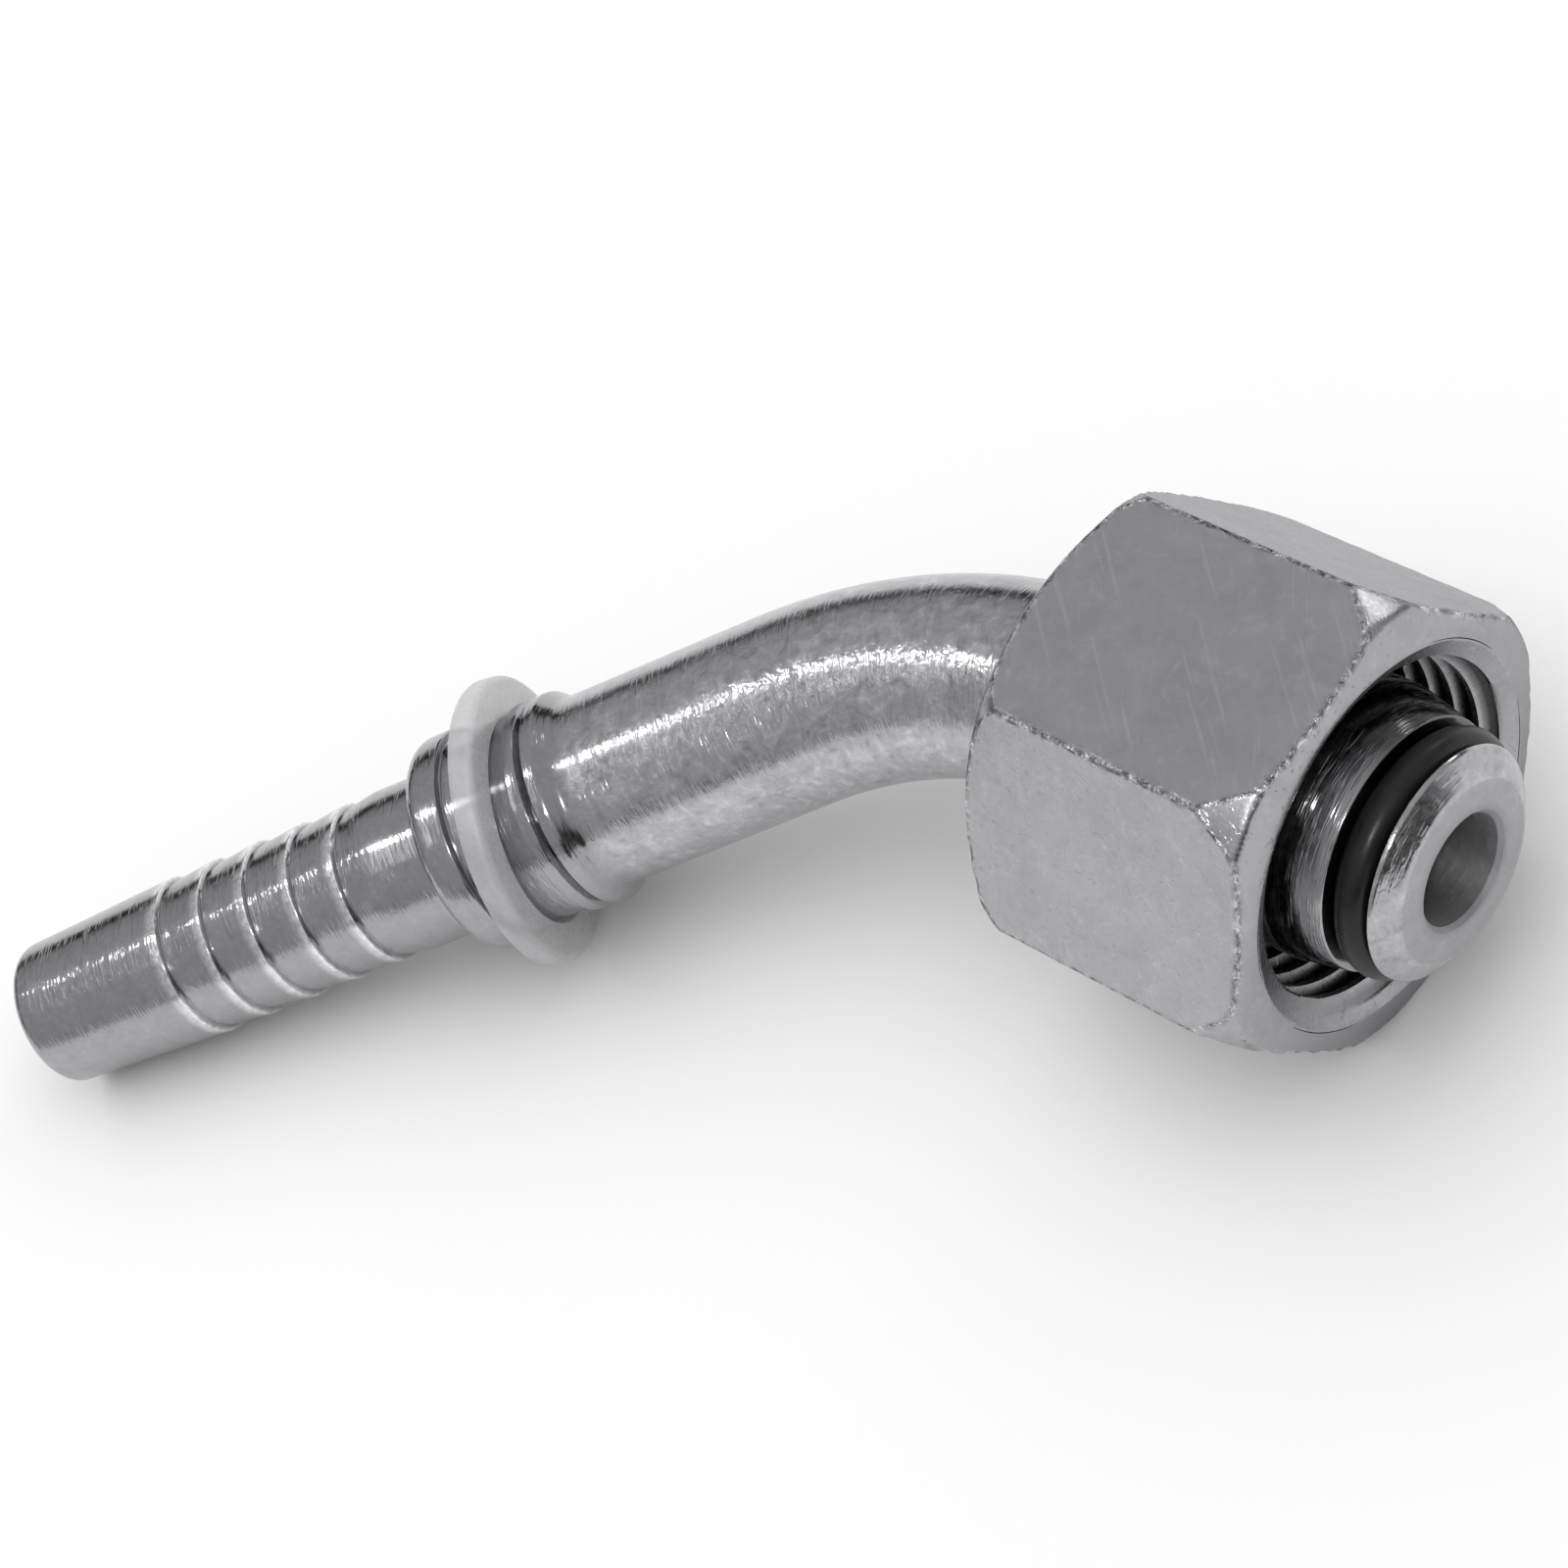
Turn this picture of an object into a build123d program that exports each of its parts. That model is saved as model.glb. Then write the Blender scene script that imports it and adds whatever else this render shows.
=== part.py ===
from build123d import *
import math
import os

# Hose fitting, 45 degree swept elbow, with a 24 degree cone nose and a loose female hex nut.
# Millimetres.  The origin is the centre of the nose's flat end face, +X points out of the
# nose along the axis of the nut, +Z is up.  The part lies as it comes to rest: the nut on a
# flat, and the rounded end of the hose tail on the same surface.

# ---------------------------------------------------------------- driving dimensions
across_flats = 24.0          # hex of the nut, for an M20 x 1.5 thread
bore_d = 6.2                 # passage through the whole stem
tube_d = 11.2                # bent tube
bend_r = 26.7                # centreline radius of the bend
bend_deg = 45.0

# cone nose: stations are measured back from the end face
face_r = 5.10                # flat end face
lip_x, lip_r = 0.95, 6.38    # end of the lip's chamfer
groove_x0, groove_x1 = 1.20, 3.50
groove_r = 4.85              # bottom of the O-ring groove
cone_r0 = 6.96               # cone radius at the back edge of the groove
cone_half_deg = 12.0
cone_x1 = 6.55               # back end of the cone
shoulder_x1 = 8.05           # back end of the cylindrical land that stops the nut
neck_x, neck_r = 9.60, 6.06
run_x = 22.15                # start of the bend

# O-ring
cord_d = 2.0
oring_x = 2.36

# hose tail: stations are measured from the end of the bend along the tail
rim_s0, rim_s1, rim_r = 12.70, 14.15, 6.30
vee_s, vee_r = 14.40, 5.75
band_s0, band_s1 = 14.65, 15.40
seat_s1, seat_r = 19.75, 6.00            # seat of the plastic ring
collar_s1, collar_r = 22.10, 6.50
tail_r, root_r = 4.87, 4.57              # crests and roots of the barbs
land_s1 = 26.00                          # plain land behind the collar
crest_s, pitch, barbs = 27.95, 3.14, 5   # first crest after the land
tip_s, tip_r = 51.80, 4.38               # end of the tail
tip_round = 0.80

# plastic locating ring, loose on its seat, so it sits askew
ring_r, ring_hole_r, ring_t = 8.44, 6.20, 1.60
ring_s = 17.72
ring_lean_in_plane = 4.6
ring_lean_across = 5.3

# nut: stations are measured back from its front face
nut_gap = 4.45               # the nose stands this far out of the nut
nut_len = 18.5
corner_round = 0.35
nut_face_r, face_blend = 11.40, 3.6      # the front face curves back from here
front_break_x, front_break_r, front_corner_slope = 0.55, 12.85, 2.6
nut_back_r = 11.48
back_break_x, back_break_r, back_corner_slope = 1.15, 13.20, 2.0
mouth_r = 10.64
thread_r = 9.19              # minor radius of M20 x 1.5
thread_x1 = 10.5
relief_x1, relief_r = 12.0, 10.15
seat_x, seat_in_r = 13.0, 8.20
back_bore_r = 6.50

# ---------------------------------------------------------------- how the part lies
# The tail swings down about the nut's axis until its rounded end touches the surface.
reach = bend_r * (1 - math.cos(math.radians(bend_deg)))
sin_b = math.sin(math.radians(bend_deg))
cos_b = math.cos(math.radians(bend_deg))
lead = (tail_r - tip_r) / (tip_s - crest_s - (barbs - 1) * pitch - 0.12)
ball_s = tip_s - tip_round
ball_r = tip_r + tip_round * lead - tip_round * math.hypot(1, lead)
swing = 0.0
for _ in range(40):
    level = math.sqrt(1 - (sin_b * math.sin(swing)) ** 2)
    swing = math.asin((across_flats / 2 - ball_r * level - tip_round) / (reach + ball_s * sin_b))
side = Vector(0, -math.cos(swing), -math.sin(swing))        # the way the tail turns off
tail_dir = Vector(-cos_b, 0, 0) + side * sin_b
bend_normal = Vector(1, 0, 0).cross(side)
bend_centre = Vector(-run_x, 0, 0) + side * bend_r
tail_start = bend_centre + Vector(-1, 0, 0) * (bend_r * sin_b) - side * (bend_r * cos_b)

front_plane = Plane(origin=(0, 0, 0), x_dir=(1, 0, 0), z_dir=bend_normal)
bend_plane = Plane(origin=(-run_x, 0, 0), x_dir=side, z_dir=(-1, 0, 0))
tail_plane = Plane(origin=tail_start, x_dir=tail_dir, z_dir=bend_normal)
bend_axis = Axis(bend_centre, bend_normal)
tail_axis = Axis(tail_start, tail_dir)
cone_r1 = cone_r0 + (cone_x1 - groove_x1) * math.tan(math.radians(cone_half_deg))
tube_r, bore_r = tube_d / 2, bore_d / 2

# ---------------------------------------------------------------- profile of the hose tail
tail_points = [(0, 0), (0, tube_r), (rim_s0, tube_r), (rim_s0 + 0.75, rim_r), (rim_s1, rim_r),
               (vee_s, vee_r), (band_s0, rim_r), (band_s1, rim_r), (band_s1, seat_r),
               (seat_s1, seat_r), (seat_s1, collar_r), (collar_s1, collar_r),
               (collar_s1, tail_r), (land_s1, tail_r)]
tail_radii = [0, 0, 0.6, 0.35, 0.10, 0, 0.10, 0.05, 0.10, 0.10, 0.15, 1.0, 0.20, 0]
for k in range(barbs):
    s = crest_s + k * pitch
    tail_points += [(s, root_r), (s + 0.12, tail_r)]
    tail_radii += [0, 0]
tail_points += [(tip_s, tip_r), (tip_s, 0)]
tail_radii += [tip_round, 0]

# ---------------------------------------------------------------- stem
with BuildPart() as elbow_stem:
    # cone nose and the straight run behind it
    with BuildSketch(front_plane) as nose_section:
        with BuildLine():
            FilletPolyline((0, 0), (0, face_r), (-lip_x, lip_r), (-groove_x0, lip_r + 0.05),
                           (-groove_x0, groove_r), (-groove_x1, groove_r), (-groove_x1, cone_r0),
                           (-cone_x1, cone_r1), (-shoulder_x1, cone_r1), (-neck_x, neck_r),
                           (-neck_x - 1.0, tube_r), (-run_x, tube_r), (-run_x, 0),
                           radius=[0, 0.45, 0.30, 0.10, 0.20, 0.20, 0.12, 0.40, 0.40, 0.8, 0.8, 0, 0],
                           close=True)
        make_face()
    revolve(axis=Axis.X)
    # bend
    with BuildSketch(bend_plane) as tube_section:
        Circle(tube_r)
    revolve(axis=bend_axis, revolution_arc=-bend_deg)
    # hose tail
    with BuildSketch(tail_plane) as tail_section:
        with BuildLine():
            FilletPolyline(*tail_points, radius=tail_radii, close=True)
        make_face()
    revolve(axis=tail_axis)
    # passage
    with BuildSketch(front_plane) as nose_bore_section:
        with BuildLine():
            Polyline((0, 0), (0, bore_r + 0.25), (-0.25, bore_r), (-run_x, bore_r), (-run_x, 0), close=True)
        make_face()
    revolve(axis=Axis.X, mode=Mode.SUBTRACT)
    with BuildSketch(bend_plane) as bend_bore_section:
        Circle(bore_r)
    revolve(axis=bend_axis, revolution_arc=-bend_deg, mode=Mode.SUBTRACT)
    with BuildSketch(tail_plane) as tail_bore_section:
        with BuildLine():
            Polyline((0, 0), (0, bore_r), (tip_s - 0.4, bore_r), (tip_s, bore_r + 0.4), (tip_s, 0), close=True)
        make_face()
    revolve(axis=tail_axis, mode=Mode.SUBTRACT)
elbow_stem.part.label = "elbow_stem"

# ---------------------------------------------------------------- O-ring
with BuildPart() as o_ring:
    with BuildSketch(front_plane) as cord_section:
        with Locations((-oring_x, groove_r + cord_d / 2 + 0.01)):
            Circle(cord_d / 2)
    revolve(axis=Axis.X)
o_ring.part.label = "o_ring"

# ---------------------------------------------------------------- plastic locating ring
ring_centre = tail_start + tail_dir * ring_s
ring_normal = tail_dir.rotate(Axis((0, 0, 0), bend_normal), ring_lean_in_plane)
ring_across = bend_normal.cross(ring_normal)
ring_normal = ring_normal.rotate(Axis((0, 0, 0), ring_across), ring_lean_across)
ring_plane = Plane(origin=ring_centre, z_dir=ring_normal)
with BuildPart() as locating_ring:
    with BuildSketch(ring_plane.offset(-ring_t / 2)) as ring_face:
        Circle(ring_r)
        Circle(ring_hole_r, mode=Mode.SUBTRACT)
    extrude(amount=ring_t)
    fillet(locating_ring.edges().filter_by(GeomType.CIRCLE).filter_by(lambda e: e.radius > ring_r - 0.1), 0.45)
    fillet(locating_ring.edges().filter_by(GeomType.CIRCLE).filter_by(lambda e: e.radius < ring_hole_r + 0.1), 0.12)
locating_ring.part.label = "locating_ring"

# ---------------------------------------------------------------- swivel nut
x0 = -nut_gap
with BuildPart() as swivel_nut:
    with BuildSketch(Plane.YZ.offset(x0 - nut_len)) as hexagon:
        RegularPolygon(radius=across_flats / 2, side_count=6, major_radius=False)
        fillet(hexagon.vertices(), corner_round)
    extrude(amount=nut_len)
    # one section gives the chamfered corners, the thread bore, its relief, the seat and the back bore
    with BuildSketch(Plane.XZ) as nut_section:
        with BuildLine():
            FilletPolyline((x0, mouth_r), (x0, nut_face_r),
                           (x0 - front_break_x, front_break_r),
                           (x0 - front_break_x - (15 - front_break_r) * front_corner_slope, 15),
                           (x0 - nut_len + back_break_x + (15 - back_break_r) * back_corner_slope, 15),
                           (x0 - nut_len + back_break_x, back_break_r),
                           (x0 - nut_len, nut_back_r),
                           (x0 - nut_len, back_bore_r + 0.5),
                           (x0 - nut_len + 0.5, back_bore_r),
                           (x0 - seat_x - (seat_in_r - back_bore_r), back_bore_r),
                           (x0 - seat_x, seat_in_r),
                           (x0 - relief_x1, seat_in_r),
                           (x0 - relief_x1, relief_r),
                           (x0 - thread_x1, relief_r),
                           (x0 - thread_x1 + (relief_r - thread_r), thread_r),
                           (x0 - 0.90, thread_r),
                           radius=[0, face_blend, 0.20, 0, 0, 0.40, 0.25, 0, 0, 0, 0, 0, 0.2, 0.2, 0, 0],
                           close=True)
        make_face()
    revolve(axis=Axis.X, mode=Mode.INTERSECT)
swivel_nut.part.label = "swivel_nut"

# ---------------------------------------------------------------- files
os.makedirs("parts", exist_ok=True)
export_step(elbow_stem.part, "parts/elbow_stem.step")
export_step(o_ring.part, "parts/o_ring.step")
export_step(locating_ring.part, "parts/locating_ring.step")
export_step(swivel_nut.part, "parts/swivel_nut.step")

print("swing below level, degrees:", round(math.degrees(swing), 3))
print("tail start:", tail_start, "tail direction:", tail_dir, "bend normal:", bend_normal)
for node in (elbow_stem, o_ring, locating_ring, swivel_nut):
    box = node.part.bounding_box()
    print(node.part.label, "solids", len(node.part.solids()), "volume", round(node.part.volume, 1),
          "valid", node.part.is_valid, "box", box.min, box.max)
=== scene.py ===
import math

import bmesh
import bpy
import numpy as np
from mathutils import Matrix, Vector, noise


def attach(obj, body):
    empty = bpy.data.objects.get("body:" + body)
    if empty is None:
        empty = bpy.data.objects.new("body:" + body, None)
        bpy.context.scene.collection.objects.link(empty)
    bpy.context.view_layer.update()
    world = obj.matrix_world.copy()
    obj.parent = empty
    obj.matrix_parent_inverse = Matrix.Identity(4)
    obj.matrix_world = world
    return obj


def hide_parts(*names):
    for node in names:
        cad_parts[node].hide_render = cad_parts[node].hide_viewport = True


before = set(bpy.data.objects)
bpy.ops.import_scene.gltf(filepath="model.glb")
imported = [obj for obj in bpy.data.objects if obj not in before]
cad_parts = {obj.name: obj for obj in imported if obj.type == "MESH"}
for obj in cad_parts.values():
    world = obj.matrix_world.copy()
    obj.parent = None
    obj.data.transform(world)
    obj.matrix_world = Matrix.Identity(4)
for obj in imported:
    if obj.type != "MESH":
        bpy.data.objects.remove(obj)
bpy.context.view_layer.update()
MM = 0.001


# ---------------------------------------------------------------- shape helpers, all in millimetres
def fillet_path(points, radii, step=12.0):
    """The corners of a polyline rounded to their radii, as a denser polyline."""
    pts = [np.array(q, float) for q in points]
    legs = [np.linalg.norm(b - a) for a, b in zip(pts[:-1], pts[1:])]
    turns, cuts = [0.0] * len(pts), [0.0] * len(pts)
    for k in range(1, len(pts) - 1):
        u, w = (pts[k - 1] - pts[k]) / legs[k - 1], (pts[k + 1] - pts[k]) / legs[k]
        turns[k] = math.pi - math.acos(max(-1, min(1, float(u @ w))))
        cuts[k] = max(radii[k], 0.0) * math.tan(turns[k] / 2) if turns[k] > 1e-3 else 0.0
    # two roundings that meet on one leg share it in proportion
    share = [1.0] * len(pts)
    for k, leg in enumerate(legs):
        both = cuts[k] + cuts[k + 1]
        if both > 0.98 * leg:
            share[k] = min(share[k], 0.98 * leg / both)
            share[k + 1] = min(share[k + 1], 0.98 * leg / both)
    out = [pts[0]]
    for k in range(1, len(pts) - 1):
        p, turn, t = pts[k], turns[k], cuts[k] * share[k]
        if t < 1e-5:
            out.append(p)
            continue
        u, w = (pts[k - 1] - p) / legs[k - 1], (pts[k + 1] - p) / legs[k]
        r = t / math.tan(turn / 2)
        bis = (u + w) / np.linalg.norm(u + w)
        c = p + bis * (r / math.cos(turn / 2))
        n = max(2, int(math.ceil(math.degrees(turn) / step)))
        s0 = p + u * t - c
        s1 = p + w * t - c
        sign = 1.0 if s0[0] * s1[1] - s0[1] * s1[0] > 0 else -1.0
        for i in range(n + 1):
            g = sign * turn * i / n
            out.append(c + np.array([s0[0] * math.cos(g) - s0[1] * math.sin(g), s0[0] * math.sin(g) + s0[1] * math.cos(g)]))
    out.append(pts[-1])
    return out


def densify(path, longest):
    """Extra points on long runs."""
    out = [path[0]]
    for a, b in zip(path[:-1], path[1:]):
        n = max(1, int(math.ceil(np.linalg.norm(b - a) / longest)))
        out += [a + (b - a) * (i / n) for i in range(1, n + 1)]
    return out


def wob(x, y, z, scale, seed=0.0):
    """Smooth noise about zero."""
    return noise.noise(Vector((x * scale + seed, y * scale + seed * 0.7, z * scale - seed)))


def make_object(name, verts, faces, attributes, body, material, sharp=32.0):
    mesh = bpy.data.meshes.new(name)
    mesh.from_pydata([tuple(MM * c for c in v) for v in verts], [], faces)
    for key, values in attributes.items():
        kind = "FLOAT_VECTOR" if len(values[0]) == 3 else "FLOAT"
        layer = mesh.attributes.new(key, kind, "POINT")
        flat = np.array(values, np.float32).ravel()
        layer.data.foreach_set("vector" if kind == "FLOAT_VECTOR" else "value", flat)
    bm = bmesh.new()
    bm.from_mesh(mesh)
    bmesh.ops.remove_doubles(bm, verts=bm.verts, dist=1.5e-6)
    bmesh.ops.dissolve_degenerate(bm, edges=bm.edges, dist=1e-7)
    bmesh.ops.recalc_face_normals(bm, faces=bm.faces)
    bm.to_mesh(mesh)
    bm.free()
    mesh.polygons.foreach_set("use_smooth", [True] * len(mesh.polygons))
    mesh.set_sharp_from_angle(angle=math.radians(sharp))
    mesh.materials.append(material)
    obj = bpy.data.objects.new(name, mesh)
    bpy.context.scene.collection.objects.link(obj)
    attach(obj, body)
    return obj


# ---------------------------------------------------------------- the stem's own line, as in the CAD
tube_r, bore_r = 5.6, 3.1
run_x, bend_r, bend_deg = 22.15, 26.7, 45.0
tail_r, root_r = 4.87, 4.57
crest_s, pitch, barbs = 27.95, 3.14, 5
tip_s, tip_r, tip_round = 51.80, 4.38, 0.80
land_s1 = 26.00

sin_b, cos_b = math.sin(math.radians(bend_deg)), math.cos(math.radians(bend_deg))
reach = bend_r * (1 - cos_b)
lead = (tail_r - tip_r) / (tip_s - crest_s - (barbs - 1) * pitch - 0.12)
ball_s = tip_s - tip_round
ball_r = tip_r + tip_round * lead - tip_round * math.hypot(1, lead)
swing = 0.0
for _ in range(40):
    level = math.sqrt(1 - (sin_b * math.sin(swing)) ** 2)
    swing = math.asin((12.0 - ball_r * level - tip_round) / (reach + ball_s * sin_b))
side = np.array([0, -math.cos(swing), -math.sin(swing)])
ahead = np.array([-1.0, 0, 0])
tail_dir = ahead * cos_b + side * sin_b
bend_normal = np.cross([1.0, 0, 0], side)
bend_centre = ahead * run_x + side * bend_r
tail_start = bend_centre + ahead * (bend_r * sin_b) - side * (bend_r * cos_b)
arc_len = bend_r * math.radians(bend_deg)


def centreline(s):
    """Point and direction at a distance s from the nose's face."""
    if s <= run_x:
        return ahead * s, ahead
    if s <= run_x + arc_len:
        a = (s - run_x) / bend_r
        return bend_centre + bend_r * (ahead * math.sin(a) - side * math.cos(a)), ahead * math.cos(a) + side * math.sin(a)
    return tail_start + tail_dir * (s - run_x - arc_len), tail_dir


# ---------------------------------------------------------------- node helpers
class Nodes:
    """Short names for making a material's nodes."""

    def __init__(self, name):
        self.mat = bpy.data.materials.new(name)
        self.mat.use_nodes = True
        self.t = self.mat.node_tree
        self.t.nodes.clear()
        self.out = self.t.nodes.new("ShaderNodeOutputMaterial")

    def new(self, kind, **props):
        n = self.t.nodes.new(kind)
        for k, v in props.items():
            setattr(n, k, v)
        return n

    def link(self, a, b):
        self.t.links.new(a, b)

    def value(self, sock, v):
        """Set a socket, or link it when v is itself a socket."""
        if isinstance(v, bpy.types.NodeSocket):
            self.link(v, sock)
        else:
            sock.default_value = v

    def attr(self, name):
        n = self.new("ShaderNodeAttribute", attribute_name=name, attribute_type="GEOMETRY")
        return n

    def math(self, op, a, b=0.0, clamp=False):
        n = self.new("ShaderNodeMath", operation=op, use_clamp=clamp)
        self.value(n.inputs[0], a)
        self.value(n.inputs[1], b)
        return n.outputs[0]

    def scale(self, vec, xyz):
        n = self.new("ShaderNodeMapping", vector_type="POINT")
        self.link(vec, n.inputs["Vector"])
        n.inputs["Scale"].default_value = xyz
        return n.outputs[0]

    def turned(self, vec, rot, xyz):
        n = self.new("ShaderNodeMapping", vector_type="POINT")
        self.link(vec, n.inputs["Vector"])
        n.inputs["Rotation"].default_value = rot
        m = self.new("ShaderNodeMapping", vector_type="POINT")
        self.link(n.outputs[0], m.inputs["Vector"])
        m.inputs["Scale"].default_value = xyz
        return m.outputs[0]

    def noise(self, vec, scale=1.0, detail=3.0, rough=0.5, distort=0.0):
        n = self.new("ShaderNodeTexNoise", noise_dimensions="3D")
        self.link(vec, n.inputs["Vector"])
        n.inputs["Scale"].default_value = scale
        n.inputs["Detail"].default_value = detail
        n.inputs["Roughness"].default_value = rough
        n.inputs["Distortion"].default_value = distort
        return n.outputs["Fac"]

    def ramp(self, fac, stops, interp="LINEAR"):
        n = self.new("ShaderNodeValToRGB")
        n.color_ramp.interpolation = interp
        e = n.color_ramp.elements
        while len(e) > 1:
            e.remove(e[-1])
        for i, (pos, col) in enumerate(stops):
            k = e[0] if i == 0 else e.new(pos)
            k.position = pos
            k.color = (col, col, col, 1) if not isinstance(col, tuple) else (*col, 1)
        self.link(fac, n.inputs[0])
        return n.outputs["Color"]

    def mix(self, fac, a, b, blend="MIX"):
        n = self.new("ShaderNodeMix", data_type="RGBA", blend_type=blend)
        self.value(n.inputs["Factor"], fac)
        for sock, v in ((n.inputs[6], a), (n.inputs[7], b)):
            if isinstance(v, bpy.types.NodeSocket):
                self.link(v, sock)
            else:
                sock.default_value = (*v, 1) if isinstance(v, tuple) else (v, v, v, 1)
        return n.outputs[2]

    def remap(self, v, a, b, c, d):
        n = self.new("ShaderNodeMapRange")
        self.link(v, n.inputs["Value"])
        for key, x in (("From Min", a), ("From Max", b), ("To Min", c), ("To Max", d)):
            n.inputs[key].default_value = x
        return n.outputs["Result"]

    def bump(self, height, distance, strength=1.0, normal=None):
        n = self.new("ShaderNodeBump")
        self.link(height, n.inputs["Height"])
        n.inputs["Distance"].default_value = distance
        n.inputs["Strength"].default_value = strength
        if normal is not None:
            self.link(normal, n.inputs["Normal"])
        return n.outputs["Normal"]

    def principled(self, **plain):
        n = self.new("ShaderNodeBsdfPrincipled")
        for key, v in plain.items():
            self.value(n.inputs[key.replace("_", " ")], v)
        self.link(n.outputs[0], self.out.inputs["Surface"])
        return n


# ---------------------------------------------------------------- materials
def stem_material():
    """Zinc plate on turned and bent steel: turning marks run round it, blotches in the plate."""
    m = Nodes("plated_steel_stem")
    flow = m.attr("flow").outputs["Vector"]          # along the line, and the two ways across it, in mm
    raw = m.attr("raw").outputs["Fac"]               # 1 on the bent tube, 0 on turned lengths
    dark = m.attr("dark").outputs["Fac"]             # painted shade: 1 in the passage, deep inside the nut and on the back of the nose
    turning = m.noise(m.scale(flow, (2.1, 0.14, 0.14)), 1.0, 3.0, 0.65)
    fine = m.noise(m.scale(flow, (7.0, 0.6, 0.6)), 1.0, 2.0, 0.6)
    blotch = m.noise(m.scale(flow, (0.80, 0.80, 0.80)), 1.0, 6.0, 0.68, 1.1)
    speck = m.noise(m.scale(flow, (2.4, 2.4, 2.4)), 1.0, 4.0, 0.65, 0.4)
    draw = m.noise(m.scale(flow, (0.35, 1.6, 1.6)), 1.0, 3.0, 0.55, 0.4)
    frost = m.ramp(m.noise(m.scale(flow, (0.55, 0.55, 0.55)), 1.0, 7.0, 0.78, 0.6), [(0.52, 0.0), (0.60, 0.55), (0.72, 1.0)])
    mottled = m.math("MULTIPLY", m.math("SUBTRACT", blotch, 0.5), m.math("ADD", m.math("MULTIPLY", raw, 0.8), 0.6))
    tone = m.math("ADD", mottled, m.math("MULTIPLY", m.math("SUBTRACT", speck, 0.5), 0.45))
    tone = m.math("ADD", tone, m.math("MULTIPLY", m.math("SUBTRACT", draw, 0.5), m.math("MULTIPLY", raw, 0.35)))
    tone = m.math("ADD", tone, m.math("MULTIPLY", m.math("SUBTRACT", turning, 0.5), 0.22))
    grey = m.ramp(m.math("ADD", tone, 0.5), [(0.12, (0.27, 0.27, 0.28)), (0.40, (0.42, 0.42, 0.43)), (0.58, (0.48, 0.48, 0.495)), (0.85, (0.68, 0.68, 0.695))])
    grey = m.mix(m.math("MULTIPLY", frost, m.math("ADD", m.math("MULTIPLY", raw, 0.34), 0.12)), grey, (0.74, 0.74, 0.755))
    grey = m.mix(m.math("MULTIPLY", m.math("SUBTRACT", 1.0, raw), 0.36), grey, (0.24, 0.24, 0.245))
    wear_and_glint = m.attr("wear_and_glint").outputs["Fac"]             # 1 on the barbs' edges, which get a painted highlight
    # painted highlight: the barbs' edges are painted near white
    grey = m.mix(m.math("MULTIPLY", wear_and_glint, m.remap(speck, 0.35, 0.60, 0.45, 1.0)), grey, (0.95, 0.95, 0.96))
    # painted shade: the passage, the nose inside the nut and the nose's back are darkened
    grey = m.mix(m.math("MULTIPLY", dark, 0.88), grey, (0.055, 0.055, 0.056))
    # sparse tool marks round the work, steep enough to catch a lamp that the plain surface doesn't
    ridges = m.ramp(m.noise(m.scale(flow, (2.6, 0.22, 0.22)), 1.0, 2.0, 0.6), [(0.44, 0.0), (0.50, 1.0), (0.56, 0.0)])
    broken = m.remap(m.noise(m.scale(flow, (0.9, 1.3, 1.3)), 1.0, 2.0, 0.5), 0.40, 0.60, 0.25, 1.0)
    peel = m.attr("peel").outputs["Fac"]             # 1 where bending has roughened the tube's back
    dots = m.noise(m.scale(flow, (2.3, 2.0, 2.0)), 1.0, 1.5, 0.55, 0.3)
    rough = m.math("ADD", m.remap(speck, 0.3, 0.7, 0.18, 0.25), m.math("MULTIPLY", m.math("SUBTRACT", blotch, 0.5), 0.16))
    rough = m.math("ADD", rough, m.math("MULTIPLY", frost, 0.08))
    rough = m.math("SUBTRACT", rough, m.math("MULTIPLY", m.math("SUBTRACT", 1.0, raw), 0.05))
    inner = m.attr("inner").outputs["Fac"]           # 1 on the drilled wall of the passage
    rough = m.math("ADD", rough, m.math("MULTIPLY", inner, 0.46))
    n1 = m.bump(m.math("MULTIPLY", ridges, broken), 0.00003, 0.35)
    n2 = m.bump(fine, 0.000008, 0.35, n1)
    n3 = m.bump(m.math("MULTIPLY", dots, peel), 0.00007, 0.6, n2)
    n4 = m.bump(speck, 0.00003, 0.12, n3)
    m.principled(Base_Color=grey, Metallic=1.0, Roughness=rough, Normal=n4, Anisotropic=0.35, Anisotropic_Rotation=0.25, Tangent=m.attr("hoop").outputs["Vector"])
    return m.mat


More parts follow.
